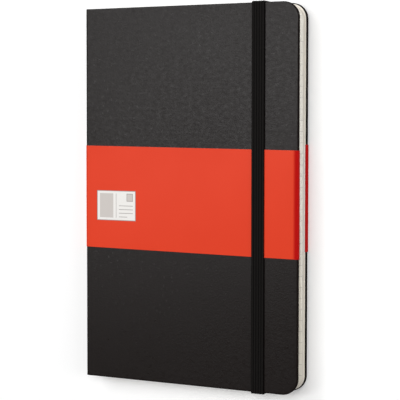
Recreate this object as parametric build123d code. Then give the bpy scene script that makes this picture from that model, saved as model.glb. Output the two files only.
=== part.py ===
import os

from build123d import *

# An address book lying on its back cover, in millimetres. The spine is at -X, the fore-edge at +X, the head
# of the pages at +Y, and +Z points up out of the front cover. The table is at Z = 0.

# Covers
cover_width = 130.0
cover_height = 210.0
cover_corner_radius = 8.8
cover_edge_radius = 0.5
board_thickness = 2.1
skin_thickness = 0.25
endpaper_thickness = 0.15
endpaper_margin = 0.45
turn_in_width = 10.0
turn_in_corner_radius = 1.0
board_clearance = 0.03

# Spine and its two fold lines
stiffener_thickness = 1.0
stiffener_clearance = 0.1
fold_clearance = 0.35

# Leaves
leaf_thickness = 0.07
leaves_per_letter = 5
letter_gap = 0.01
flyleaf_thickness = 0.12
page_gap = 0.03
fore_edge_square = 1.6
head_square = 2.0
tab_depth = 5.5
tab_head_margin = 10.0
tab_tail_margin = 9.0

# Sewn back of the leaves
lining_thickness = 0.25
lining_end_inset = 6.0
lining_clearance = 0.25
fold_bead_radius = 0.2
thread_diameter = 0.24
thread_clearance = 0.05
thread_stations = 6
thread_end_inset = 20.0

# Pocket inside the back cover
pocket_hinge_inset = 8.0
pocket_tail_inset = 4.5
pocket_mouth_inset = 32.5
pocket_flap_clearance = 2.0
pocket_panel_thickness = 0.35
gusset_thickness = 0.4
gusset_width = 5.0
pocket_clearance = 0.05

# Elastic closure
strap_width = 7.4
strap_thickness = 0.75
strap_from_fore_edge = 22.7
strap_bend_radius = 0.6
strap_edge_gap = 0.05
strap_clearance = 0.05
slot_inset = 12.0
slot_side_clearance = 0.2
anchor_length = 20.0

# Paper band
band_height = 57.9
band_centre = -2.25
band_thickness = 0.22
band_gap = 0.03
band_flap_length = 25.0

letters = ["a", "b", "c", "d", "e", "f", "g", "h", "i", "j", "k", "l"]
letters += ["m", "n", "o", "p", "q", "r", "s", "t", "u", "v", "w", "xyz"]

# Levels from the table up
cover_thickness = skin_thickness + board_thickness + endpaper_thickness
back_out = band_thickness + band_gap
back_in = back_out + cover_thickness
pocket_panel_low = back_in + gusset_thickness
pocket_panel_high = pocket_panel_low + pocket_panel_thickness
back_flap_low = back_in + band_gap
back_flap_high = back_flap_low + band_thickness
back_flyleaf_low = max(pocket_panel_high, back_flap_high) + pocket_clearance
leaves_low = back_flyleaf_low + flyleaf_thickness + page_gap
letter_thickness = leaf_thickness * leaves_per_letter
letter_pitch = letter_thickness + letter_gap
leaves_high = leaves_low + letter_pitch * len(letters)
front_flyleaf_low = leaves_high + page_gap
front_flyleaf_high = front_flyleaf_low + flyleaf_thickness
front_flap_low = front_flyleaf_high + pocket_clearance
front_flap_high = front_flap_low + band_thickness
front_in = front_flap_high + band_gap
front_out = front_in + cover_thickness

# Positions across the book
spine_out = -cover_width / 2
fore_edge = cover_width / 2
head = cover_height / 2
fold_radius = cover_thickness / 2
fold_x = spine_out + fold_radius
back_fold_z = back_out + fold_radius
front_fold_z = front_out - fold_radius
cover_start = fold_x + fold_radius + fold_clearance
page_fore_edge = fore_edge - fore_edge_square
page_head = head - head_square
page_corner_radius = cover_corner_radius - fore_edge_square
turn_x = spine_out + skin_thickness + stiffener_thickness + lining_clearance
turn_z = leaves_low + letter_pitch * (len(letters) // 2) - letter_gap / 2
thread_x = turn_x + lining_thickness + thread_clearance + thread_diameter / 2
page_start = thread_x + thread_diameter / 2 + thread_clearance


def block(x0, x1, y0, y1, z0, z1):
    """A box between two corners."""
    centre = Pos((x0 + x1) / 2, (y0 + y1) / 2, (z0 + z1) / 2)
    return centre * Box(x1 - x0, y1 - y0, z1 - z0)


def leaf_face(x0, x1, half_height, radius):
    """A leaf outline with square corners at the spine and round corners at the fore-edge."""
    width = x1 - x0
    face = Pos((x0 + x1) / 2, 0) * Rectangle(width, 2 * half_height)
    return fillet(face.vertices().group_by(Axis.X)[-1], radius)


def plate(x0, x1, half_height, radius, z0, z1):
    """A leaf outline given a thickness."""
    return Pos(0, 0, z0) * extrude(leaf_face(x0, x1, half_height, radius), z1 - z0)


def rod_y(x, z, radius, half_length):
    """A round bar along Y."""
    return Pos(x, 0, z) * Rot(90, 0, 0) * Cylinder(radius, 2 * half_length)


def save(shape, name):
    """Writes one named node."""
    shape.label = name
    export_step(shape, f"parts/{name}.step")


os.makedirs("parts", exist_ok=True)

# Elastic closure: a front run, a leg over each end of the book, and an end that passes through the back cover
strap_x = fore_edge - strap_from_fore_edge
strap_x0 = strap_x - strap_width / 2
strap_x1 = strap_x + strap_width / 2
strap_low = front_out + band_gap + band_thickness + strap_clearance
strap_high = strap_low + strap_thickness
leg_in = head + strap_edge_gap
leg_out = leg_in + strap_thickness
slot_y1 = head - slot_inset
slot_y0 = slot_y1 - strap_thickness
recess_high = back_in - endpaper_thickness
anchor_high = recess_high - strap_clearance
anchor_low = anchor_high - strap_thickness
anchor_y0 = slot_y0 - anchor_length

save(block(strap_x0, strap_x1, -leg_in, leg_in, strap_low, strap_high), "elastic_front_strap")
head_leg = block(strap_x0, strap_x1, leg_in, leg_out, 0, strap_high)
head_leg = fillet(head_leg.edges().filter_by(Axis.X).group_by(Axis.Y)[-1], strap_bend_radius)
save(head_leg, "elastic_head_leg")
save(mirror(head_leg, Plane.XZ), "elastic_tail_leg")

head_anchor = block(strap_x0, strap_x1, slot_y0, leg_in, 0, strap_thickness)
head_anchor += block(strap_x0, strap_x1, slot_y0, slot_y1, 0, anchor_high)
head_anchor += block(strap_x0, strap_x1, anchor_y0, slot_y1, anchor_low, anchor_high)
save(head_anchor, "elastic_head_anchor")
save(mirror(head_anchor, Plane.XZ), "elastic_tail_anchor")

# Room that the elastic takes in the back cover: a groove outside, a slot through, a recess under the endpaper
room_x0 = strap_x0 - slot_side_clearance
room_x1 = strap_x1 + slot_side_clearance
room_y0 = slot_y0 - slot_side_clearance
room_y1 = slot_y1 + slot_side_clearance
elastic_room = block(room_x0, room_x1, room_y0, leg_out, 0, strap_thickness + strap_clearance)
elastic_room += block(room_x0, room_x1, room_y0, room_y1, 0, recess_high)
recess_low = anchor_low - strap_clearance
recess_y0 = anchor_y0 - slot_side_clearance
elastic_room += block(room_x0, room_x1, recess_y0, room_y1, recess_low, recess_high)
elastic_room += mirror(elastic_room, Plane.XZ)

# Covers: a board wrapped in a skin that turns in over three edges, with an endpaper pasted over the turned-in skin
board_radius = cover_corner_radius - skin_thickness
paper_radius = cover_corner_radius - endpaper_margin
paper_level = cover_thickness - endpaper_thickness
turn_in_level = paper_level - skin_thickness


def cover(outer, direction):
    """Skin, board and pasted endpaper of a cover whose outer face is at one level and whose inside is the other way."""
    def layer(inset, radius, near, far):
        z0, z1 = sorted((outer + direction * near, outer + direction * far))
        return plate(cover_start, fore_edge - inset, head - inset, radius, z0, z1)

    skin = layer(0, cover_corner_radius, 0, cover_thickness)
    outer_edges = skin.faces().sort_by(Axis.Z)[0 if direction > 0 else -1].edges()
    skin = fillet(outer_edges.sort_by(Axis.X)[1:], cover_edge_radius)
    skin -= layer(skin_thickness, board_radius, skin_thickness, turn_in_level)
    skin -= layer(turn_in_width, turn_in_corner_radius, turn_in_level, paper_level)
    skin -= layer(endpaper_margin, paper_radius, paper_level, cover_thickness)
    board = layer(skin_thickness + board_clearance, board_radius, skin_thickness, turn_in_level)
    board += layer(turn_in_width + board_clearance, turn_in_corner_radius, turn_in_level, paper_level)
    paper = layer(endpaper_margin + board_clearance, paper_radius, paper_level, cover_thickness)
    return skin, board, paper


front_skin, front_board, front_paper = cover(front_out, -1)
save(front_skin, "front_cover_skin")
save(front_board, "front_board")
save(front_paper, "front_pastedown")
back_skin, back_board, back_paper = cover(back_out, 1)
save(back_skin - elastic_room, "back_cover_skin")
save(back_board - elastic_room, "back_board")
save(back_paper, "back_pastedown")

# Spine: a skin with a round fold along each edge, and a card stiffener inside it
spine_skin = block(spine_out, spine_out + skin_thickness, -head, head, back_fold_z, front_fold_z)
spine_skin += rod_y(fold_x, back_fold_z, fold_radius, head)
spine_skin += rod_y(fold_x, front_fold_z, fold_radius, head)
save(spine_skin, "spine_skin")
stiffener_x0 = spine_out + skin_thickness
stiffener_z0 = back_fold_z + fold_radius + stiffener_clearance
stiffener_z1 = front_fold_z - fold_radius - stiffener_clearance
stiffener_x1 = stiffener_x0 + stiffener_thickness
stiffener_end = head - skin_thickness - board_clearance
stiffener = block(stiffener_x0, stiffener_x1, -stiffener_end, stiffener_end, stiffener_z0, stiffener_z1)
save(stiffener, "spine_stiffener")

# Leaves of each letter: cut back below their own tab, so that the tabs step down the fore-edge in a ladder
tab_pitch = (2 * page_head - tab_head_margin - tab_tail_margin) / len(letters)
full_face = leaf_face(page_start, page_fore_edge, page_head, page_corner_radius)
cut_face = leaf_face(page_start, page_fore_edge - tab_depth, page_head, page_corner_radius)
for index, letter in enumerate(letters):
    top = leaves_high - letter_pitch * index - letter_gap / 2
    step_y = page_head - tab_head_margin - tab_pitch * (index + 1)
    outline = full_face
    if index < len(letters) - 1:
        kept_height = page_head - step_y
        kept = Pos(0, step_y + kept_height / 2) * Rectangle(2 * cover_width, kept_height)
        outline = cut_face + (full_face & kept)
    save(Pos(0, 0, top - letter_thickness) * extrude(outline, letter_thickness), f"leaves_{letter}")

flyleaf = plate(page_start, page_fore_edge, page_head, page_corner_radius, 0, flyleaf_thickness)
save(Pos(0, 0, front_flyleaf_low) * flyleaf, "front_flyleaf")
save(Pos(0, 0, back_flyleaf_low) * flyleaf, "back_flyleaf")

# Sewn back: a cloth lining in two halves that part where the leaves open, and the threads between it and the folds
lining_half = page_head - lining_end_inset
lining_x1 = turn_x + lining_thickness
front_half_low = turn_z + fold_bead_radius + thread_clearance
back_half_high = turn_z - fold_bead_radius - thread_clearance
save(block(turn_x, lining_x1, -lining_half, lining_half, front_half_low, leaves_high), "front_spine_lining")
back_lining = block(turn_x, lining_x1, -lining_half, lining_half, leaves_low, turn_z)
back_lining += rod_y(turn_x, turn_z, fold_bead_radius, lining_half)
save(back_lining, "back_spine_lining")

station_span = 2 * (page_head - thread_end_inset)
for half, z0, z1 in (("front", front_half_low, leaves_high), ("back", leaves_low, back_half_high)):
    threads = []
    for station in range(thread_stations):
        y = -station_span / 2 + station_span * station / (thread_stations - 1)
        threads.append(Pos(thread_x, y, (z0 + z1) / 2) * Cylinder(thread_diameter / 2, z1 - z0))
    save(Compound(threads), f"{half}_sewing_threads")

# Pocket: a stiff panel hinged beside the spine, with folded gussets at the fore-edge and tail sides
flap_x0 = fore_edge + band_gap - band_flap_length
pocket_x0 = spine_out + pocket_hinge_inset
pocket_x1 = flap_x0 - pocket_flap_clearance
pocket_y0 = -head + pocket_tail_inset
pocket_y1 = head - pocket_mouth_inset
pocket_hinge_radius = pocket_panel_thickness / 2
hinge_centre = Pos(pocket_x0, (pocket_y0 + pocket_y1) / 2, pocket_panel_low + pocket_hinge_radius)
panel = block(pocket_x0, pocket_x1, pocket_y0, pocket_y1, pocket_panel_low, pocket_panel_high)
panel += hinge_centre * Rot(90, 0, 0) * Cylinder(pocket_hinge_radius, pocket_y1 - pocket_y0)
save(panel, "pocket_panel")
gusset_x0 = pocket_x1 - gusset_width
gusset_y1 = pocket_y0 + gusset_width
save(block(gusset_x0, pocket_x1, pocket_y0, pocket_y1, back_in, pocket_panel_low), "pocket_side_gusset")
save(block(pocket_x0, gusset_x0, pocket_y0, gusset_y1, back_in, pocket_panel_low), "pocket_tail_gusset")

# Paper band: a panel on each cover and on the spine, folded in over both fore-edges
band_y0 = band_centre - band_height / 2
band_y1 = band_centre + band_height / 2
edge_in = fore_edge + band_gap
edge_out = edge_in + band_thickness
band_high = front_out + band_gap + band_thickness
save(block(fold_x, edge_in, band_y0, band_y1, front_out + band_gap, band_high), "band_front_panel")
save(block(edge_in, edge_out, band_y0, band_y1, front_flap_low, band_high), "band_front_edge")
save(block(flap_x0, edge_in, band_y0, band_y1, front_flap_low, front_flap_high), "band_front_flap")
spine_band_x0 = spine_out - band_gap - band_thickness
spine_band_x1 = spine_out - band_gap
save(block(spine_band_x0, spine_band_x1, band_y0, band_y1, back_fold_z, front_fold_z), "band_spine_panel")
save(block(fold_x, edge_in, band_y0, band_y1, 0, band_thickness), "band_back_panel")
save(block(edge_in, edge_out, band_y0, band_y1, 0, back_flap_high), "band_back_edge")
save(block(flap_x0, edge_in, band_y0, band_y1, back_flap_low, back_flap_high), "band_back_flap")
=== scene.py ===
import math

import bpy
import numpy as np
from mathutils import Matrix, Vector


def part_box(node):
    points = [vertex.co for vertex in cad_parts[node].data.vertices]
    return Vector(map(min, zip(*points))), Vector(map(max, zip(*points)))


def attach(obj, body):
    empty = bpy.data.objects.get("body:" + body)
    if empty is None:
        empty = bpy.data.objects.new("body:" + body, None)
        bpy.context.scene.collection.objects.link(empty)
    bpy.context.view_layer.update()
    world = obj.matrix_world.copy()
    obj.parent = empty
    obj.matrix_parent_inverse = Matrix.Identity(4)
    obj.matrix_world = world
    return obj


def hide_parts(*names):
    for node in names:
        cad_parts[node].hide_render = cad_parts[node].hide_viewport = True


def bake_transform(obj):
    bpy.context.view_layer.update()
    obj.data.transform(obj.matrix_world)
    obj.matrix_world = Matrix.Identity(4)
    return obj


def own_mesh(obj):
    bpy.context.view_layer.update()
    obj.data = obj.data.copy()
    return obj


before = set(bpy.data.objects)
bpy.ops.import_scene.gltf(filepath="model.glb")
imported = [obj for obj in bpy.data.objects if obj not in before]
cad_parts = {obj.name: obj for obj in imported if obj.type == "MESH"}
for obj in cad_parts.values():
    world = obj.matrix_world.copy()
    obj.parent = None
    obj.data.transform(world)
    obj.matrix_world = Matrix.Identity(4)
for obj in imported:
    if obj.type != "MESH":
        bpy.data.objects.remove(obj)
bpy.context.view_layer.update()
mm = 0.001  # lengths below are in millimetres, meshes are in metres


def nodeBox(name):  # lowest and highest corner of a node
    low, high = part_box(name)
    return np.array(low) / mm, np.array(high) / mm


# Mesh helpers

def makePiece(name, points, faces, finishes, finishIndex=None, uv=None, smooth=True):
    mesh = bpy.data.meshes.new(name)
    rows = faces.tolist() if isinstance(faces, np.ndarray) else faces
    mesh.from_pydata((np.asarray(points, float).reshape(-1, 3) * mm).tolist(), [], rows)
    for finish in finishes:
        mesh.materials.append(finish)
    mesh.polygons.foreach_set("use_smooth", np.full(len(rows), smooth))
    if finishIndex is not None:
        mesh.polygons.foreach_set("material_index", np.asarray(finishIndex, np.int32))
    if uv is not None:  # one pair for each vertex, in millimetres
        corner = np.empty(len(mesh.loops), np.int32)
        mesh.loops.foreach_get("vertex_index", corner)
        layer = mesh.uv_layers.new(name="run")
        layer.data.foreach_set("uv", np.asarray(uv, np.float32)[corner].ravel())
    mesh.update()
    made = bpy.data.objects.new(name, mesh)
    bpy.context.scene.collection.objects.link(made)
    return made


def gridFaces(rows, columns, closed=False):
    # quads of a grid, facing row step x column step; closed joins the last column to the first
    r = np.arange(rows - 1)[:, None]
    c = np.arange(columns if closed else columns - 1)[None, :]
    d = (c + 1) % columns
    here, ahead = r * columns, (r + 1) * columns
    return np.stack([here + c, ahead + c, ahead + d, here + d], -1).reshape(-1, 4)


def thickSheet(surface, thickness):
    # a grid surface, the same surface moved inwards along its normals, and a strip round the rim between;
    # the last value is true for the faces to shade smooth, which leaves out the strip
    normal = np.cross(np.gradient(surface, axis=0), np.gradient(surface, axis=1))
    normal /= np.linalg.norm(normal, axis=-1, keepdims=True)
    rows, columns = surface.shape[:2]
    outer = gridFaces(rows, columns)
    index = np.arange(rows * columns).reshape(rows, columns)
    rim = np.concatenate([index[:, 0], index[-1, 1:], index[-2::-1, -1], index[0, -2:0:-1]])
    after, half = np.roll(rim, -1), rows * columns
    strip = np.stack([after, rim, rim + half, after + half], -1)
    points = np.concatenate([surface.reshape(-1, 3), (surface - normal * thickness).reshape(-1, 3)])
    faces = np.concatenate([outer, outer[:, ::-1] + half, strip])
    return points, faces, np.arange(len(faces)) < 2 * len(outer)


def carried(path, up, profile):
    # a closed profile (across X, along up) carried along a path that stays in a plane of constant X
    side = np.array([1.0, 0.0, 0.0])
    return path[:, None, :] + profile[None, :, :1] * side + profile[None, :, 1:] * up[:, None, :]


def arc(cx, cy, radius, start, stop, steps):  # points of a circle's arc, angles in degrees
    a = np.radians(np.linspace(start, stop, steps))
    return np.stack([cx + radius * np.cos(a), cy + radius * np.sin(a)], -1)


def smoothStep(x, low, high):  # 0 before low, 1 after high
    t = np.clip((x - low) / (high - low), 0, 1)
    return t * t * (3 - 2 * t)


# Material helpers

def newFinish(name, shine, roughness=0.5):
    made = bpy.data.materials.new(name)
    made.use_nodes = True
    shader = made.node_tree.nodes["Principled BSDF"]
    shader.inputs["Specular IOR Level"].default_value = shine
    shader.inputs["Roughness"].default_value = roughness
    return made, made.node_tree, shader


def put(tree, kind, sockets=None, **settings):
    made = tree.nodes.new(kind)
    for key, value in settings.items():
        setattr(made, key, value)
    for key, value in (sockets or {}).items():
        if isinstance(value, bpy.types.NodeSocket):
            tree.links.new(value, made.inputs[key])
        else:
            made.inputs[key].default_value = value
    return made


def sums(tree, kind, a, b=0.0, c=0.0):
    return put(tree, "ShaderNodeMath", {0: a, 1: b, 2: c}, operation=kind).outputs[0]


def ramp(tree, value, low, high, toLow=0.0, toHigh=1.0):  # smooth step between two values
    sockets = {"Value": value, "From Min": low, "From Max": high, "To Min": toLow, "To Max": toHigh}
    return put(tree, "ShaderNodeMapRange", sockets, interpolation_type="SMOOTHSTEP").outputs[0]


def mixColour(tree, share, first, second):
    made = put(tree, "ShaderNodeMix", data_type="RGBA")
    for socket, value in zip((made.inputs[0], made.inputs[6], made.inputs[7]), (share, first, second)):
        if isinstance(value, bpy.types.NodeSocket):
            tree.links.new(value, socket)
        else:
            socket.default_value = value if isinstance(value, float) else (*value, 1.0)
    return made.outputs[2]


def noise(tree, place, scale, detail=3.0, roughness=0.55):
    sockets = {"Vector": place, "Scale": scale, "Detail": detail, "Roughness": roughness}
    return put(tree, "ShaderNodeTexNoise", sockets).outputs["Fac"]


def placeOf(tree, kind="Object"):
    return put(tree, "ShaderNodeTexCoord").outputs[kind]


def stretched(tree, place, scale):
    return put(tree, "ShaderNodeMapping", {"Vector": place, "Scale": scale}).outputs[0]


def raised(tree, shader, height, distance, strength, under=None):
    sockets = {"Height": height, "Distance": distance, "Strength": strength}
    made = put(tree, "ShaderNodeBump", sockets if under is None else {**sockets, "Normal": under})
    tree.links.new(made.outputs[0], shader.inputs["Normal"])
    return made.outputs[0]


def inkBox(tree, x, y, box, soft):
    # 1 inside a rectangle of the two coordinates, 0 outside, with a soft rim
    x0, x1, y0, y1 = box
    mask = ramp(tree, x, x0 - soft, x0 + soft)
    mask = sums(tree, "MULTIPLY", mask, ramp(tree, x, x1 - soft, x1 + soft, 1.0, 0.0))
    mask = sums(tree, "MULTIPLY", mask, ramp(tree, y, y0 - soft, y0 + soft))
    return sums(tree, "MULTIPLY", mask, ramp(tree, y, y1 - soft, y1 + soft, 1.0, 0.0))


# Finishes: counts are noise scales per metre, depths are bump heights in metres

leather = {"cells": 1150.0, "cellBlend": 0.7, "cellEdge": (0.1, 0.7), "wander": 0.0012, "wanderScale": 420.0,
           "pits": 3200.0, "clouds": 24.0, "specks": 520.0, "speckRun": (0.7, 1.0, 1.0),
           "high": (0.0082, 0.0050, 0.0042), "low": (0.0060, 0.0036, 0.0030),
           "cloudGloss": 0.08, "cellGloss": 0.08, "speckGloss": 0.4,
           "cellDepth": 0.00008, "cellRelief": 0.45, "pitDepth": 0.00003, "pitRelief": 0.4}


def leatheretteFinish(name, shine, dullness):
    # grained black cover: cells under a millimetre with fine pits, softer gloss where the grain is deep
    made, tree, shader = newFinish(name, shine)
    place = placeOf(tree)
    drift = put(tree, "ShaderNodeTexNoise", {"Vector": place, "Scale": leather["wanderScale"], "Detail": 2.0})
    sockets = {0: leather["wander"], 4: place, 5: drift.outputs["Color"]}
    bent = put(tree, "ShaderNodeMix", sockets, data_type="VECTOR").outputs[1]
    sockets = {"Vector": bent, "Scale": leather["cells"], "Smoothness": leather["cellBlend"]}
    cells = put(tree, "ShaderNodeTexVoronoi", sockets, feature="SMOOTH_F1").outputs["Distance"]
    pits = noise(tree, place, leather["pits"], 4.0, 0.6)
    cloud = noise(tree, place, leather["clouds"], 3.0, 0.5)
    speck = noise(tree, stretched(tree, place, leather["speckRun"]), leather["specks"], 3.0, 0.6)
    tint = mixColour(tree, ramp(tree, cells, *leather["cellEdge"]), leather["high"], leather["low"])
    tree.links.new(tint, shader.inputs["Base Color"])
    gloss = sums(tree, "MULTIPLY_ADD", cells, leather["cellGloss"], dullness)
    gloss = sums(tree, "MULTIPLY_ADD", cloud, leather["cloudGloss"], gloss)
    gloss = sums(tree, "MULTIPLY_ADD", sums(tree, "SUBTRACT", speck, 0.5), leather["speckGloss"], gloss)
    tree.links.new(gloss, shader.inputs["Roughness"])
    sunk = sums(tree, "MULTIPLY", cells, -1.0)
    under = raised(tree, shader, sunk, leather["cellDepth"], leather["cellRelief"])
    raised(tree, shader, pits, leather["pitDepth"], leather["pitRelief"], under)
    return made


paper = {"roughness": 0.82, "shine": 0.25, "fibres": 2400.0, "fibreRun": (1.0, 0.35, 1.0), "mottle": 90.0,
         "fibreShare": 0.55, "mottleShare": 0.45, "contrast": (0.3, 0.7), "lineRim": (0.6, 1.4),
         "fieldRim": 0.05, "depth": 0.00002, "relief": 0.35}


def paperFinish(name, colour, shade, ruling=None):
    # uncoated paper: short fibres and a faint mottle; ruling adds printed lines that run out over the edge
    made, tree, shader = newFinish(name, paper["shine"], paper["roughness"])
    place = placeOf(tree)
    fibre = noise(tree, stretched(tree, place, paper["fibreRun"]), paper["fibres"], 4.0, 0.65)
    mottle = noise(tree, place, paper["mottle"], 3.0, 0.5)
    share = sums(tree, "MULTIPLY", mottle, paper["mottleShare"])
    share = sums(tree, "MULTIPLY_ADD", fibre, paper["fibreShare"], share)
    tint = mixColour(tree, ramp(tree, share, *paper["contrast"]), colour, shade)
    if ruling:
        axis = put(tree, "ShaderNodeSeparateXYZ", {0: place})
        x, y = axis.outputs[0], axis.outputs[1]
        count = sums(tree, "MULTIPLY_ADD", y, 1 / (ruling["pitch"] * mm), ruling["offset"])
        away = sums(tree, "ABSOLUTE", sums(tree, "SUBTRACT", sums(tree, "FRACT", count), 0.5))
        half = ruling["width"] / ruling["pitch"] / 2
        line = ramp(tree, away, *(half * v for v in paper["lineRim"]), 1.0, 0.0)
        field = inkBox(tree, x, y, [v * mm for v in ruling["field"]], paper["fieldRim"] * mm)
        amount = sums(tree, "MULTIPLY", sums(tree, "MULTIPLY", line, field), ruling["strength"])
        tint = mixColour(tree, amount, tint, ruling["ink"])
    tree.links.new(tint, shader.inputs["Base Color"])
    raised(tree, shader, fibre, paper["depth"], paper["relief"])
    return made


board = {"roughness": 0.9, "shine": 0.2, "pulp": 700.0, "flecks": 2600.0, "fleckEdge": (0.62, 0.72),
         "dark": (0.20, 0.19, 0.175), "light": (0.33, 0.315, 0.29), "fleck": (0.09, 0.085, 0.08),
         "depth": 0.00006, "relief": 0.5}


def boardFinish():
    # grey board: pressed pulp with darker flecks
    made, tree, shader = newFinish("greyBoard", board["shine"], board["roughness"])
    place = placeOf(tree)
    pulp = noise(tree, place, board["pulp"], 5.0, 0.7)
    fleck = ramp(tree, noise(tree, place, board["flecks"], 2.0), *board["fleckEdge"])
    tint = mixColour(tree, pulp, board["dark"], board["light"])
    tree.links.new(mixColour(tree, fleck, tint, board["fleck"]), shader.inputs["Base Color"])
    raised(tree, shader, pulp, board["depth"], board["relief"])
    return made


weave = {"roughness": 0.8, "shine": 0.3, "threadShare": 0.65, "fuzzShare": 0.35, "fuzzPerThread": 6.0,
         "depth": 0.00006, "relief": 0.7}


def wovenFinish(name, warp, weft, pitch):
    # plain weave: two crossed waves, one thread over and the next under
    made, tree, shader = newFinish(name, weave["shine"], weave["roughness"])
    place = placeOf(tree)
    axis = put(tree, "ShaderNodeSeparateXYZ", {0: place})
    turn = math.pi / pitch
    across = sums(tree, "ADD", axis.outputs[0], axis.outputs[2])
    first = sums(tree, "SINE", sums(tree, "MULTIPLY", across, turn))
    second = sums(tree, "SINE", sums(tree, "MULTIPLY", axis.outputs[1], turn))
    over = sums(tree, "MULTIPLY_ADD", sums(tree, "MULTIPLY", first, second), 0.5, 0.5)
    fuzz = noise(tree, place, weave["fuzzPerThread"] / pitch, 3.0)
    share = sums(tree, "MULTIPLY", over, weave["threadShare"])
    share = sums(tree, "MULTIPLY_ADD", fuzz, weave["fuzzShare"], share)
    tree.links.new(mixColour(tree, share, warp, weft), shader.inputs["Base Color"])
    raised(tree, shader, share, weave["depth"], weave["relief"])
    return made


braid = {"roughness": 0.7, "shine": 0.05, "slant": 0.8, "yarnPitch": 0.75, "yarnShare": 0.6, "fuzz": 5200.0,
         "fuzzShare": 0.4, "dark": (0.0048, 0.0042, 0.0039), "light": (0.0118, 0.0104, 0.0096),
         # the groove colour is painted shade in the hollows between the ribs
         "groove": (0.0012, 0.0011, 0.0011), "grooveShadeEdge": (0.2, 0.46), "depth": 0.00008, "relief": 0.6}


def elasticFinish():
    # covered rubber braid: slanted yarns that change slant from rib to rib, on the strap's own run in mm
    made, tree, shader = newFinish("blackElastic", braid["shine"], braid["roughness"])
    axis = put(tree, "ShaderNodeSeparateXYZ", {0: placeOf(tree, "UV")})
    across, along = axis.outputs[0], axis.outputs[1]
    rib = sums(tree, "PINGPONG", across, elastic["ribPitch"])
    slanted = sums(tree, "MULTIPLY_ADD", rib, braid["slant"], along)
    yarn = sums(tree, "SINE", sums(tree, "MULTIPLY", slanted, 2 * math.pi / braid["yarnPitch"]))
    lift = sums(tree, "MULTIPLY_ADD", yarn, 0.5, 0.5)
    fuzz = noise(tree, placeOf(tree), braid["fuzz"], 3.0)
    inRib = sums(tree, "FRACT", sums(tree, "DIVIDE", across, elastic["ribPitch"]))
    groove = sums(tree, "ABSOLUTE", sums(tree, "SUBTRACT", inRib, 0.5))
    share = sums(tree, "MULTIPLY", lift, braid["yarnShare"])
    share = sums(tree, "MULTIPLY_ADD", fuzz, braid["fuzzShare"], share)
    tint = mixColour(tree, share, braid["dark"], braid["light"])
    # painted shade: the hollows between the ribs take a near-black colour
    tint = mixColour(tree, ramp(tree, groove, *braid["grooveShadeEdge"]), tint, braid["groove"])
    tree.links.new(tint, shader.inputs["Base Color"])
    raised(tree, shader, share, braid["depth"], braid["relief"])
    return made


coated = {"shine": 0.15, "fibres": 1800.0, "fibreShare": 0.3, "drift": 26.0, "driftShare": 0.7,
          "contrast": (0.3, 0.7), "inkRim": 0.06, "frontRim": (-0.3, -0.2),
          "rough": 0.33, "driftRough": 0.1, "foldRough": 0.55, "depth": 0.00002, "relief": 0.25}


def bandFinish():
    # coated red paper: satin, with a slow drift in tone, and a small postcard printed on the front panel;
    # matt along the fore-edge fold, where painted shade makes the red darker
    made, tree, shader = newFinish("redBandPaper", coated["shine"])
    place = placeOf(tree)
    fibre = noise(tree, place, coated["fibres"], 4.0, 0.6)
    drift = noise(tree, place, coated["drift"], 3.0, 0.5)
    share = sums(tree, "MULTIPLY", drift, coated["driftShare"])
    share = sums(tree, "MULTIPLY_ADD", fibre, coated["fibreShare"], share)
    tint = mixColour(tree, ramp(tree, share, *coated["contrast"]), bandPrint["red"], bandPrint["deepRed"])
    axis = put(tree, "ShaderNodeSeparateXYZ", {0: place})
    x, y, z = axis.outputs
    onFront = ramp(tree, z, *((bandPrint["level"] + v) * mm for v in coated["frontRim"]))
    left, low = bandPrint["corner"]
    for box, ink in bandPrint["marks"]:
        spot = [(v + shift) * mm for v, shift in zip(box, (left, left, low, low))]
        mask = sums(tree, "MULTIPLY", inkBox(tree, x, y, spot, coated["inkRim"] * mm), onFront)
        tint = mixColour(tree, mask, tint, bandPrint[ink])
    # painted shade: the strip along the fore-edge fold takes a darker red
    folded = ramp(tree, x, *(v * mm for v in bandPrint["foldShadeStrip"]))
    tree.links.new(mixColour(tree, folded, tint, bandPrint["foldShadeRed"]), shader.inputs["Base Color"])
    rough = sums(tree, "MULTIPLY_ADD", drift, coated["driftRough"], coated["rough"])
    rough = sums(tree, "MULTIPLY_ADD", folded, coated["foldRough"], rough)
    tree.links.new(rough, shader.inputs["Roughness"])
    raised(tree, shader, fibre, coated["depth"], coated["relief"])
    return made


thread = {"roughness": 0.6, "shine": 0.4, "winding": 12000.0, "fuzz": 4000.0, "plyShare": 0.3,
          "dark": (0.50, 0.46, 0.38), "light": (0.74, 0.70, 0.60), "depth": 0.00003, "relief": 0.6}


def threadFinish():
    # waxed linen thread: plies that wind round the thread
    made, tree, shader = newFinish("linenThread", thread["shine"], thread["roughness"])
    place = placeOf(tree)
    axis = put(tree, "ShaderNodeSeparateXYZ", {0: place})
    along = sums(tree, "ADD", axis.outputs[2], axis.outputs[1])
    ply = sums(tree, "SINE", sums(tree, "MULTIPLY", along, thread["winding"]))
    share = sums(tree, "MULTIPLY_ADD", ply, thread["plyShare"], noise(tree, place, thread["fuzz"]))
    tree.links.new(mixColour(tree, share, thread["dark"], thread["light"]), shader.inputs["Base Color"])
    raised(tree, shader, ply, thread["depth"], thread["relief"])
    return made


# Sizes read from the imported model

frontSkinLow, frontSkinHigh = nodeBox("front_cover_skin")
foreEdge, head, frontOut = frontSkinHigh
coverStart = frontSkinLow[0]
coverThickness = frontOut - frontSkinLow[2]
backOut = nodeBox("back_cover_skin")[0][2]
spineOut = nodeBox("spine_skin")[0][0]
foldRadius = coverThickness / 2
foldX = spineOut + foldRadius
middle = (frontOut + backOut) / 2

# Values of pieces that the finishes need too

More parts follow.
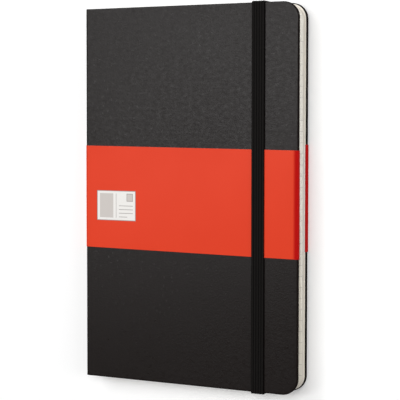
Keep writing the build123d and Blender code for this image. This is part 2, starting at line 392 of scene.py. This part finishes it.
elastic = {"ribs": 5, "ribPitch": 1.48, "ribHeight": 0.1, "shoulder": 0.3, "thinnest": 0.25, "step": 3.0,
           "bend": 0.6, "endBends": [0.46, 0.46, 0.44], "gluedLength": 20.0,
           "flatLevel": 0.24, "flatKeep": 0.0005}
bandPrint = {
    "red": (0.745, 0.0445, 0.0100), "deepRed": (0.72, 0.0415, 0.0092),
    # the darker red along the fore-edge fold strip is painted shade
    "foldShadeRed": (0.45, 0.0025, 0.0020), "foldShadeStrip": (61.9, 64.1), "white": (0.84, 0.82, 0.79),
    "grey": (0.30, 0.27, 0.26), "pale": (0.60, 0.56, 0.53), "level": nodeBox("band_front_panel")[1][2],
    "corner": (-57.5, -15.0),
    "marks": [  # x0, x1, y0, y1 from the corner
        ((0, 25, 0, 17), "grey"), ((0.35, 24.65, 0.35, 16.65), "white"), ((12.3, 12.55, 1.6, 15.4), "grey"),
        ((19.2, 23.2, 11.0, 15.4), "grey"), ((19.5, 22.9, 11.3, 15.1), "pale"),
        ((14.2, 23.2, 8.3, 8.6), "grey"), ((14.2, 23.2, 6.2, 6.5), "grey"),
        ((14.2, 23.2, 4.1, 4.4), "grey"), ((14.2, 19.6, 2.0, 2.3), "grey"), ((1.8, 10.6, 1.6, 15.4), "pale"),
    ],
}
pageRuling = {"pitch": 6.0, "offset": 0.5, "width": 0.3, "field": (-57.0, 70.0, -97.0, 85.0),
              "strength": 0.35, "ink": (0.34, 0.32, 0.31)}

leatherette = leatheretteFinish("blackLeatherette", 0.22, 0.28)
dullLeatherette = leatheretteFinish("dullLeatheretteEdge", 0.03, 0.7)  # rubbed matt over the board's edge
greyBoard = boardFinish()
endPaper = paperFinish("ivoryEndpaper", (0.95, 0.91, 0.83), (0.92, 0.875, 0.795))
pagePaper = paperFinish("ivoryPage", (0.95, 0.92, 0.85), (0.92, 0.885, 0.81), pageRuling)
pocketCard = paperFinish("pocketCard", (0.86, 0.815, 0.715), (0.80, 0.755, 0.655))
tabInk = paperFinish("tabInk", (0.16, 0.155, 0.15), (0.21, 0.2, 0.19))
blackElastic = elasticFinish()
redBand = bandFinish()
plainBand = paperFinish("unprintedBandPaper", (0.94, 0.90, 0.86), (0.92, 0.875, 0.83))
mullCloth = wovenFinish("mullCloth", (0.78, 0.75, 0.66), (0.55, 0.52, 0.45), 0.0006)
gussetCloth = wovenFinish("gussetCloth", (0.010, 0.010, 0.011), (0.028, 0.027, 0.027), 0.0003)
linenThread = threadFinish()
print("finishes:", len(bpy.data.materials))

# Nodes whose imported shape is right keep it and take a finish

for nodeName, finish in {
    "front_board": greyBoard, "back_board": greyBoard, "spine_stiffener": greyBoard,
    "front_pastedown": endPaper, "back_pastedown": endPaper,
    "front_flyleaf": endPaper, "back_flyleaf": endPaper,
    "front_spine_lining": mullCloth, "back_spine_lining": mullCloth,
    "front_sewing_threads": linenThread, "back_sewing_threads": linenThread, "pocket_panel": pocketCard,
}.items():
    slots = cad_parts[nodeName].data.materials
    slots.clear()
    slots.append(finish)

# Cover skins

coverSkin = {"cornerRadius": 8.8, "edgeRadius": 0.5, "innerRadius": 0.12, "rim": 0.47, "thickness": 0.1,
             "spineDepth": 1.1, "fadeLength": 3.0, "foldDull": (0.3, 0.98), "blendPast": 1.8, "seamRow": 0.04,
             "foldRows": (0.4, 0.9, 1.5, 2.2, 3.0, 4.0, 5.0), "flatStart": 7.0, "flatRows": 34,
             "lengthRows": 61, "grooveDepth": 0.54, "grooveWall": (-0.35, 0.05), "grooveStop": 0.2,
             "grooveClear": 0.2, "grooveRows": (-0.35, -0.2, 0.0, 0.2)}


def edgeWrap():
    # the way the skin goes round an edge: outer quarter round, wall, inner quarter round, then the rim;
    # run is the length along it, out the distance past the edge, deep the distance in from the outer face
    big, small = coverSkin["edgeRadius"], coverSkin["innerRadius"]
    a, b = np.linspace(0, math.pi / 2, 7), np.linspace(0, math.pi / 2, 5)
    wall = np.linspace(big, coverThickness - small, 3)[1:-1]
    out = np.concatenate([big * np.sin(a) - big, 0 * wall, small * np.cos(b) - small, [-coverSkin["rim"]]])
    deep = np.concatenate([big - big * np.cos(a), wall, coverThickness - small + small * np.sin(b),
                           [coverThickness]])
    run = np.concatenate([[0], np.cumsum(np.hypot(np.diff(out), np.diff(deep)))])
    return run, out, deep


def halfCase(groove=None):
    # One cover and half the spine as a sheet. Across the book the line goes up the spine, round the fold
    # and along the outer face. Past the flat part both directions are measured from the corner centres: the
    # larger of the two is a radius, their ratio an angle, and the radius past the edge follows edgeWrap.
    radius, big = coverSkin["cornerRadius"], coverSkin["edgeRadius"]
    run, out, deep = edgeWrap()
    ring = np.concatenate([np.linspace(0, radius - big, 9)[:-1], radius - big + run])
    centreX, centreY = foreEdge - radius, head - radius
    foldUp = frontOut - middle - foldRadius
    rise = np.insert(np.linspace(0, foldUp, 7)[:-1], 1, coverSkin["seamRow"])  # one row close to the seam
    turn = np.linspace(0, math.pi / 2, 11)
    flat = np.concatenate([foldX + np.array(coverSkin["foldRows"]),
                           np.linspace(foldX + coverSkin["flatStart"], centreX, coverSkin["flatRows"])])
    lineY = np.linspace(-centreY, centreY, coverSkin["lengthRows"])
    if groove:  # lines along the groove's sides and end
        side = np.array(coverSkin["grooveRows"])
        flat = np.union1d(flat, np.concatenate([groove["x0"] + side, groove["x1"] - side]))
        stop = groove["end"] - side
        lineY = np.union1d(lineY, np.concatenate([stop, -stop]))
    lineX = np.concatenate([np.full(len(rise), spineOut), foldX - foldRadius * np.cos(turn), flat,
                            np.full(len(ring) - 1, centreX)])
    level = np.full(len(flat) + len(ring) - 1, foldUp + foldRadius)
    up = np.concatenate([rise, foldUp + foldRadius * np.sin(turn), level])
    inX = np.concatenate([np.ones(len(rise)), np.cos(turn), np.zeros(len(level))])
    inUp = -np.sqrt(1 - inX ** 2)
    pastX = np.concatenate([np.zeros(len(lineX) - len(ring) + 1), ring[1:]])[:, None]
    lineY = np.concatenate([np.full(len(ring) - 1, -centreY), lineY, np.full(len(ring) - 1, centreY)])
    pastY = np.concatenate([ring[:0:-1], np.zeros(len(lineY) - 2 * len(ring) + 2), ring[1:]])[None, :]
    far = np.maximum(pastX, pastY)
    near = np.minimum(pastX, pastY)
    angle = math.pi / 4 * near / np.maximum(far, 1e-9)
    angle = np.where(pastX >= pastY, angle, math.pi / 2 - angle)
    beyond = far - (radius - big)
    reach = np.where(beyond > 0, radius + np.interp(beyond, run, out), far)
    inward = np.where(beyond > 0, np.interp(beyond, run, deep), 0.0)
    x = lineX[:, None] + reach * np.cos(angle) * (pastX > 0)
    y = lineY[None, :] + np.sign(lineY)[None, :] * reach * np.sin(angle) * (pastY > 0)
    fade = smoothStep(lineX, coverStart, coverStart + coverSkin["fadeLength"])
    inward = inward * (fade + (1 - fade) * coverSkin["spineDepth"] / coverThickness)[:, None]
    if groove:  # the elastic's groove runs out over the edge
        begin, full = coverSkin["grooveWall"]
        stop = coverSkin["grooveStop"]
        dip = smoothStep(x, groove["x0"] + begin, groove["x0"] + full)
        dip = dip * smoothStep(-x, begin - groove["x1"], full - groove["x1"])
        dip = dip * smoothStep(np.abs(y), groove["end"] - stop, groove["end"] + stop)
        inward = np.maximum(inward, dip * (inward < coverThickness / 2) * coverSkin["grooveDepth"])
    surface = np.stack([x + inX[:, None] * inward, y, up[:, None] + inUp[:, None] * inward + 0 * y], -1)
    folded = (inX > coverSkin["foldDull"][0]) & (inX < coverSkin["foldDull"][1])
    return surface, (beyond > big / 2) | folded[:, None]


def edgeFaces(past):
    # finish index of a thick sheet's faces: 1 on the rim and where all corners are past the edge or folded
    flags = past.ravel()[gridFaces(*past.shape)].all(1).astype(int)
    return np.concatenate([flags, flags, np.ones(2 * (sum(past.shape) - 2), int)])


anchorLow, anchorHigh = nodeBox("elastic_head_anchor")
strapLow, strapHigh = nodeBox("elastic_front_strap")
legLow, legHigh = nodeBox("elastic_head_leg")
strapWidth, strapThickness = strapHigh[0] - strapLow[0], strapHigh[2] - strapLow[2]
slotOuter = anchorLow[1] + elastic["gluedLength"] + strapThickness  # outer wall of the back cover's slot
caseFinishes = [leatherette, dullLeatherette]

frontSurface, frontPast = halfCase()
frontSurface[..., 2] += middle
points, faces, rounded = thickSheet(frontSurface, coverSkin["thickness"])
frontSkin = makePiece("front_case_skin", points, faces, caseFinishes, edgeFaces(frontPast), smooth=rounded)
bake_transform(frontSkin)
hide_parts("front_cover_skin", "spine_skin")

clear = coverSkin["grooveClear"]
backSurface, backPast = halfCase({"x0": strapLow[0] - clear, "x1": strapHigh[0] + clear,
                                  "end": slotOuter - strapThickness - clear})
backSurface[..., 2] = middle - backSurface[..., 2]
points, faces, rounded = thickSheet(backSurface[:, ::-1], coverSkin["thickness"])
backSkin = makePiece("back_case_skin", points, faces, caseFinishes, edgeFaces(backPast[:, ::-1]),
                     smooth=rounded)
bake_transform(backSkin)
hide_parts("back_cover_skin")
print("covers:", len(frontSkin.data.polygons) + len(backSkin.data.polygons), "faces")

# Leaves with index tabs

leaves = {"count": 5, "gap": 0.003, "cornerRadius": 7.2, "tabDepth": 5.5, "tabRound": 1.6, "tabFillet": 0.7,
          "tabHeadMargin": 10.0, "tabTailMargin": 9.0, "sewnStrip": 1.0,
          "seed": 7, "jitter": 0.014, "jitterLimit": (-0.1, 0.06),
          "letterHeight": 3.0, "letterWidth": 2.8, "letterInset": 3.5, "inkLift": 0.003, "inkDepth": 0.006}
letters = list("abcdefghijklmnopqrstuvw") + ["xyz"]
blockLow, blockHigh = nodeBox("leaves_xyz")
pageHead, pageFore, pageStart = blockHigh[1], blockHigh[0], blockLow[0]
tabPitch = (2 * pageHead - leaves["tabHeadMargin"] - leaves["tabTailMargin"]) / len(letters)
draws = np.random.default_rng(leaves["seed"])
leafShift = draws.normal(0, leaves["jitter"], (len(letters), leaves["count"], 2))


def leafOutline(stepY):
    # anticlockwise from the spine at the tail; stepY is the tab's lower end, or None for a leaf with no step
    r, t, f = leaves["cornerRadius"], leaves["tabRound"], leaves["tabFillet"]
    inner = pageFore if stepY is None else pageFore - leaves["tabDepth"]
    parts = [[[pageStart, -pageHead]], arc(inner - r, r - pageHead, r, -90, 0, 12)]
    if stepY is not None:
        parts += [arc(inner + f, stepY - f, f, 180, 90, 5), arc(pageFore - t, stepY + t, t, -90, 0, 6)]
    parts += [arc(pageFore - r, pageHead - r, r, 0, 90, 12), [[pageStart, pageHead]]]
    return np.concatenate(parts)


def letterShape(text):
    # the letter as flat faces, centred on its own box and scaled to the tab
    curve = bpy.data.curves.new("tabLetter", "FONT")
    curve.body, curve.resolution_u = text, 3
    holder = bpy.data.objects.new("tabLetter", curve)
    bpy.context.scene.collection.objects.link(holder)
    shape = bpy.data.meshes.new_from_object(holder.evaluated_get(bpy.context.evaluated_depsgraph_get()))
    flat = np.empty(len(shape.vertices) * 3)
    shape.vertices.foreach_get("co", flat)
    flat = flat.reshape(-1, 3)[:, :2]
    faces = [list(p.vertices) for p in shape.polygons]
    bpy.data.objects.remove(holder)
    bpy.data.curves.remove(curve)
    bpy.data.meshes.remove(shape)
    size = np.ptp(flat, axis=0)
    scale = min(leaves["letterHeight"] / size[1], leaves["letterWidth"] / size[0])
    return (flat - (flat.min(0) + flat.max(0)) / 2) * scale, faces


def slabFaces(top, count):
    # closes a flat shape: its faces, the same turned over on the lower points, a strip along each free edge
    edges = [pair for face in top for pair in zip(face, face[1:] + face[:1])]
    inside = set(edges)
    strip = [[b, a, a + count, b + count] for a, b in edges if (b, a) not in inside]
    return top + [[v + count for v in face[::-1]] for face in top] + strip


for index, letter in enumerate(letters):
    # each leaf is its outline at two levels: a face on each side and a strip round the edge
    low, high = nodeBox("leaves_" + letter)
    stepY = pageHead - leaves["tabHeadMargin"] - tabPitch * (index + 1)
    outline = leafOutline(stepY if index < len(letters) - 1 else None)
    number, count = len(outline), leaves["count"]
    pitch = (high[2] - low[2]) / count
    bottom = low[2] + pitch * np.arange(count)
    shift = np.clip(leafShift[index], *leaves["jitterLimit"])
    flat = outline[None, :, :] + shift[:, None, :] * (outline[None, :, :1] > pageStart + leaves["sewnStrip"])
    level = np.stack([bottom, bottom + pitch - leaves["gap"]], 1)
    size = (count, 2, number)
    points = np.concatenate([np.broadcast_to(flat[:, None], (*size, 2)),
                             np.broadcast_to(level[:, :, None, None], (*size, 1))], -1).reshape(-1, 3)
    ring = np.arange(number)
    after = np.roll(ring, -1)
    strip = np.stack([ring, after, after + number, ring + number], -1)
    faces = []
    for base in 2 * number * np.arange(count):
        faces += [(ring[::-1] + base).tolist(), (ring + number + base).tolist(), *(strip + base).tolist()]
    paperFaces = len(faces)
    glyph, glyphFaces = letterShape(letter.upper())
    centre = np.array([pageFore - leaves["letterInset"], stepY + tabPitch / 2])
    lift = level[-1, 1] + leaves["inkLift"]
    printed = [np.insert(glyph + centre, 2, z, axis=1) for z in (lift, lift - leaves["inkDepth"])]
    faces += [[v + len(points) for v in face] for face in slabFaces(glyphFaces, len(glyph))]
    stack = makePiece("leaf_stack_" + letter, np.concatenate([points, *printed]), faces, [pagePaper, tabInk],
                      np.arange(len(faces)) >= paperFaces, smooth=False)
    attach(stack, "leaves_" + letter)
    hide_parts("leaves_" + letter)
print("leaves:", len(letters) * leaves["count"])

# Elastic closure

def strapProfile():
    # closed outline of the strap: an odd number of ribs as rounded humps on both faces, rounded sides
    half, thick, shoulder = strapWidth / 2, strapThickness / 2, elastic["shoulder"]
    across = np.linspace(-1, 1, elastic["ribs"] * 8 + 1)
    hump = np.abs(np.cos(across * elastic["ribs"] * math.pi / 2))
    past = np.clip((np.abs(across) * half - (half - shoulder)) / shoulder, 0, 1)
    fall = np.maximum(np.sqrt(1 - past ** 2), elastic["thinnest"])
    face = (thick - elastic["ribHeight"] * (1 - hump)) * fall
    upper = np.stack([across * half, face], -1)
    lower = np.stack([across[::-1] * half, -face[::-1]], -1)
    return np.concatenate([lower, upper])


def strapPiece(name, path, up, mirrored=False):
    # the profile carried along the path, with a cap at each end
    profile = strapProfile()
    surface = carried(path, up, profile)
    run = np.concatenate([[0], np.cumsum(np.linalg.norm(np.diff(path, axis=0), axis=1))])
    spread = np.broadcast_arrays(profile[None, :, 0] + strapWidth / 2, run[:, None])
    uv = np.stack(spread, -1).reshape(-1, 2)
    rows, columns = surface.shape[:2]
    faces = gridFaces(rows, columns, closed=True)
    ring = np.arange(columns)
    faces = faces.tolist() + [ring.tolist(), (ring[::-1] + (rows - 1) * columns).tolist()]
    points = surface.reshape(-1, 3) * ([1, -1, 1] if mirrored else [1, 1, 1])
    if not mirrored:
        faces = [face[::-1] for face in faces]
    made = makePiece(name, points, faces, [blackElastic], uv=uv)
    return made


def bentLine(corners, radii):
    # straight runs in Y and Z joined by round bends, and the path's direction turned a quarter anticlockwise
    line, facing = [], []
    corners = np.array(corners, float)
    way = np.diff(corners, axis=0)
    way = way / np.linalg.norm(way, axis=1, keepdims=True)
    begin = corners[0]
    for k, r in enumerate(radii + [0.0]):
        stop = corners[k + 1] - way[k] * r
        steps = max(2, int(np.linalg.norm(stop - begin) / elastic["step"]) + 1)
        line.append(begin + (stop - begin) * np.linspace(0, 1, steps)[:, None])
        facing.append(np.repeat([[-way[k][1], way[k][0]]], steps, 0))
        if r:
            a = np.linspace(0, math.pi / 2, 9)[1:-1, None]
            centre = stop + way[k + 1] * r
            line.append(centre - way[k + 1] * r * np.cos(a) + way[k] * r * np.sin(a))
            direction = way[k] * np.cos(a) + way[k + 1] * np.sin(a)
            facing.append(np.stack([-direction[:, 1], direction[:, 0]], -1))
            begin = corners[k + 1] + way[k + 1] * r
    line, facing = np.concatenate(line), np.concatenate(facing)
    strapX = (strapLow[0] + strapHigh[0]) / 2
    return np.insert(line, 0, strapX, axis=1), np.insert(facing, 0, 0.0, axis=1)


legMid, strapMid = (legLow[1] + legHigh[1]) / 2, (strapLow[2] + strapHigh[2]) / 2
runMid, footLevel = strapThickness / 2, strapThickness
path, up = bentLine([(-legMid, footLevel), (-legMid, strapMid), (legMid, strapMid), (legMid, footLevel)],
                    [elastic["bend"]] * 2)
strap = strapPiece("elastic_loop", path, up)
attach(strap, "elastic")
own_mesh(strap)
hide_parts("elastic_front_strap", "elastic_head_leg", "elastic_tail_leg")

# the ends go under the back cover, up through its slot and lie glued under the endpaper
slotMid, gluedMid = slotOuter - strapThickness / 2, anchorHigh[2] - strapThickness / 2
path, up = bentLine([(anchorLow[1], gluedMid), (slotMid, gluedMid), (slotMid, runMid), (legMid, runMid),
                     (legMid, footLevel)], elastic["endBends"])
for name, sign in (("head", 1), ("tail", -1)):
    end = strapPiece("elastic_" + name + "_end", path, up, mirrored=sign < 0)
    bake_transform(end)
    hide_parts("elastic_" + name + "_anchor")
print("elastic:", len(strap.data.polygons), "faces")

# Paper band

band = {"thickness": 0.2, "foldRadius": 0.35, "skew": -0.0103, "rows": 25, "edgeRow": 0.04, "printPast": 0.5,
        "coverRows": 24, "flapRows": 6, "foldSteps": 7, "bendSteps": 13, "spineRows": 9,
        "bendClear": 0.05, "bendKeep": 0.02, "bendPast": 0.04}
bandLow, bandHigh = nodeBox("band_front_panel")
frontLevel, backLevel = bandHigh[2], nodeBox("band_back_panel")[0][2]
frontFlap, backFlap = nodeBox("band_front_flap"), nodeBox("band_back_flap")
bandFore, bandSpine = nodeBox("band_front_edge")[1][0], nodeBox("band_spine_panel")[0][0]


def withEdgeRows(line):  # a row close to each end keeps the shading even up to it
    near = band["edgeRow"]
    return np.concatenate([line[:1], line[:1] + near, line[1:-1], line[-1:] - near, line[-1:]])


def foldedFore(outer, inner, flapStart, start):
    # outer line of a cover's band piece: along the cover, round both fore-edge folds, in under the cover;
    # the second value is true as far as the print goes, which is a little past the inner fold
    r, sign = band["foldRadius"], 1 if outer > inner else -1
    bendX, steps = bandFore - r, band["foldSteps"]
    cover = np.insert(np.linspace(start[-1][0], bendX, band["coverRows"])[1:-1, None], 1, outer, axis=1)
    flap = np.insert(np.linspace(bendX, flapStart, band["flapRows"])[1:, None], 1, inner, axis=1)
    line = np.concatenate([start, cover, arc(bendX, outer - sign * r, r, 90 * sign, 0, steps),
                           arc(bendX, inner + sign * r, r, 0, -90 * sign, steps),
                           [[bendX - band["printPast"], inner]], flap])
    return line, np.arange(len(line)) < len(line) - len(flap)


def bandSheet(name, body, line, run, replaced=(), printed=True):
    # a folded line in X and Z swept along Y; the strip is wound a little askew, so Y slides with the run
    y = withEdgeRows(np.linspace(bandLow[1], bandHigh[1], band["rows"]))
    surface = np.empty((len(line), len(y), 3))
    surface[..., 0], surface[..., 2] = line[:, :1], line[:, 1:]
    surface[..., 1] = y[None, :] + band["skew"] * run[:, None]
    points, faces, rounded = thickSheet(surface, band["thickness"])
    printed = np.full(len(line), printed)
    bare = np.ones(len(faces), int)
    bare[:(len(line) - 1) * (len(y) - 1)] = np.repeat(~(printed[1:] & printed[:-1]), len(y) - 1)
    made = makePiece(name, points, faces, [redBand, plainBand], bare, smooth=rounded)
    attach(made, body)
    if replaced:
        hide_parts(*replaced)
    return made


foldUp, foldDown = frontOut - foldRadius, backOut + foldRadius
wrapRadius, bendEnd = foldX - bandSpine, foldX + band["bendPast"]
flatStart = np.array([[bendEnd, 0], [bendEnd + band["edgeRow"], 0]])
frontLine, frontPrint = foldedFore(frontLevel, frontFlap[0][2], frontFlap[0][0], flatStart + [0, frontLevel])
backLine, backPrint = foldedFore(backLevel, backFlap[1][2], backFlap[0][0], flatStart + [0, backLevel])
bend = np.concatenate([[[foldX - wrapRadius, -band["bendPast"]]],
                       arc(foldX, 0, wrapRadius, 180, 90, band["bendSteps"]), [[bendEnd, wrapRadius]]])
frontBend, backBend = bend + [0, foldUp], bend * [1, -1] + [0, foldDown]
rise = withEdgeRows(np.linspace(foldDown + band["bendPast"], foldUp - band["bendPast"], band["spineRows"]))
spineLine = np.insert(rise[:, None], 0, foldX - wrapRadius, axis=1)
wholeLine = np.concatenate([backLine[::-1], backBend[::-1], spineLine, frontBend, frontLine])
wholeRun = np.concatenate([[0], np.cumsum(np.linalg.norm(np.diff(wholeLine, axis=0), axis=1))])
wholeRun += frontLine[0, 0] - wholeRun[-len(frontLine)]  # on the front cover the run is the same as X
backRun, backBendRun, spineRun, frontBendRun, frontRun = np.split(
    wholeRun, np.cumsum([len(backLine), len(bend), len(spineLine), len(bend)]))
frontBand = bandSheet("band_front", "band_front", frontLine, frontRun,
                      ["band_front_panel", "band_front_edge", "band_front_flap"], frontPrint)
bandSheet("band_spine", "band_spine", spineLine, spineRun, ["band_spine_panel"])
bandSheet("band_back", "band_back", backLine[::-1], backRun,
          ["band_back_panel", "band_back_edge", "band_back_flap"], backPrint[::-1])
# the bends round the spine folds are pieces of their own, on the covers' band bodies, each with its own mesh
frontFold = bandSheet("band_front_bend", "band_front", frontBend, frontBendRun)
backFold = bandSheet("band_back_bend", "band_back", backBend[::-1], backBendRun)
for fold, level in ((frontFold, frontLevel + band["bendClear"]), (backFold, backLevel - band["bendClear"])):
    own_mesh(fold)
print("band:", len(frontBand.data.polygons), "faces on the front")

# Pocket gussets

gusset = {"thickness": 0.06, "margin": 0.15, "inset": 0.035, "layers": 4, "turnSteps": 9, "rows": 40}


def gussetLine(near, far, low, high):
    # a cloth strip folded back on itself three times, as (across, level); near is the pocket's outer side
    folds = np.linspace(low + gusset["inset"], high - gusset["inset"], gusset["layers"])
    r = (folds[1] - folds[0]) / 2
    sign = 1 if near > far else -1
    outer, inner = near - sign * r, far + sign * r
    half = np.radians(np.linspace(-90, 90, gusset["turnSteps"]))

    def turn(x, z, way):
        return np.stack([x + way * r * np.cos(half), z + r * np.sin(half)], -1)

    return np.concatenate([[[far, folds[0]]], turn(outer, folds[0] + r, sign),
                           turn(inner, folds[1] + r, -sign), turn(outer, folds[2] + r, sign),
                           [[far, folds[3]]]])


def gussetPiece(name, line, span, alongX, replaced):
    steps = np.linspace(span[0], span[1], gusset["rows"])
    surface = np.empty((len(line), len(steps), 3))
    surface[..., 0 if alongX else 1] = steps[None, :]
    surface[..., 1 if alongX else 0] = line[:, :1]
    surface[..., 2] = line[:, 1:]
    points, faces, rounded = thickSheet(surface, gusset["thickness"])
    made = makePiece(name, points, faces, [gussetCloth], smooth=rounded)
    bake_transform(made)
    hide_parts(replaced)
    return made


sideLow, sideHigh = nodeBox("pocket_side_gusset")
tailLow, tailHigh = nodeBox("pocket_tail_gusset")
gap = gusset["margin"]
gussetPiece("pocket_side_pleat", gussetLine(sideHigh[0] - gap, sideLow[0] + gap, sideLow[2], sideHigh[2]),
            (sideLow[1] + gap, sideHigh[1] - gap), False, "pocket_side_gusset")
gussetPiece("pocket_tail_pleat", gussetLine(tailLow[1] + gap, tailHigh[1] - gap, tailLow[2], tailHigh[2]),
            (tailLow[0] + gap, tailHigh[0] - gap), True, "pocket_tail_gusset")
print("pocket: two pleats")

# Floor, light and camera

stage = {"floor": 5.0, "floorLevel": -0.02, "floorColour": 0.85, "seenColour": 0.92,
         "floorShine": 0.0, "floorRoughness": 0.9, "glow": (0.16, 0.8), "glowReach": (0.25, 1.3),
         "sky": 0.205}
lamps = {  # power, place and size, in watts and metres
    "keyLight": (6.0, (-0.109, 0.233, 1.10), (1.51, 0.25)),
    "headLight": (4.29, (-0.5, 0.55, 0.95), (0.8, 0.3)),
    "edgeLight": (1.5, (0.27, 0.2, 1.05), (0.12, 0.5)),
    "fillLight": (8.6, (1.2, 0.1, 0.22), (0.36, 1.8)),
}
viewer = {"place": (311.568, 43.413, 643.706), "yaw": 25.8151, "pitch": 2.3581, "roll": 0.0593,
          "focal": 1274.4, "pixels": 400, "shift": -30, "sensor": 36, "clip": (0.01, 50)}

side = stage["floor"] / mm
corners = [[x * side, y * side, stage["floorLevel"]] for x, y in ((-1, -1), (1, -1), (1, 1), (-1, 1))]
floor = makePiece("floor", corners, [[0, 1, 2, 3]], [], smooth=False)
floorPaint, tree, shader = newFinish("paleFloor", stage["floorShine"], stage["floorRoughness"])
rays = put(tree, "ShaderNodeLightPath")
seen = sums(tree, "MAXIMUM", rays.outputs["Is Camera Ray"], rays.outputs["Is Glossy Ray"])
seen = sums(tree, "MAXIMUM", seen, rays.outputs["Is Transmission Ray"])
tint = mixColour(tree, seen, (stage["floorColour"],) * 3, (stage["seenColour"],) * 3)
tree.links.new(tint, shader.inputs["Base Color"])
shader.inputs["Emission Color"].default_value = (1, 1, 1, 1)
away = put(tree, "ShaderNodeVectorMath", {0: placeOf(tree)}, operation="LENGTH").outputs["Value"]
glow = ramp(tree, away, *stage["glowReach"], *stage["glow"])  # the floor far from the lamps is kept white
tree.links.new(sums(tree, "MULTIPLY", seen, glow), shader.inputs["Emission Strength"])
floor.data.materials.append(floorPaint)

world = bpy.data.worlds.new("studio")
bpy.context.scene.world = world
world.use_nodes = True
tree = world.node_tree
rays = put(tree, "ShaderNodeLightPath")
background = tree.nodes["Background"]
background.inputs["Color"].default_value = (1, 1, 1, 1)
strength = ramp(tree, rays.outputs["Is Camera Ray"], 0.0, 1.0, stage["sky"], 1.0)
tree.links.new(strength, background.inputs["Strength"])

for name, (power, place, size) in lamps.items():
    lamp = bpy.data.lights.new(name, "AREA")
    lamp.energy, lamp.shape = power, "RECTANGLE"
    lamp.size, lamp.size_y = size
    made = bpy.data.objects.new(name, lamp)
    made.location = place
    made.rotation_euler = (-Vector(place)).to_track_quat("-Z", "Y").to_euler()
    bpy.context.scene.collection.objects.link(made)

yaw, pitch, roll = (math.radians(viewer[key]) for key in ("yaw", "pitch", "roll"))
level = Vector((-math.sin(yaw), 0, -math.cos(yaw)))
right, upright = Vector((math.cos(yaw), 0, -math.sin(yaw))), Vector((0, 1, 0))
look = level * math.cos(pitch) - upright * math.sin(pitch)
upright = upright * math.cos(pitch) + level * math.sin(pitch)
turned = right * math.cos(roll) + upright * math.sin(roll)
upright = upright * math.cos(roll) - right * math.sin(roll)
lens = bpy.data.cameras.new("camera")
lens.sensor_width = viewer["sensor"]
lens.lens = viewer["sensor"] * viewer["focal"] / viewer["pixels"]
lens.shift_y = viewer["shift"] / viewer["pixels"]
lens.clip_start, lens.clip_end = viewer["clip"]
camera = bpy.data.objects.new("camera", lens)
bpy.context.scene.collection.objects.link(camera)
facing = Matrix((turned, upright, -look)).transposed().to_4x4()
camera.matrix_world = Matrix.Translation(Vector(viewer["place"]) * mm) @ facing
bpy.context.scene.camera = camera
bpy.context.scene.view_settings.view_transform = "Standard"
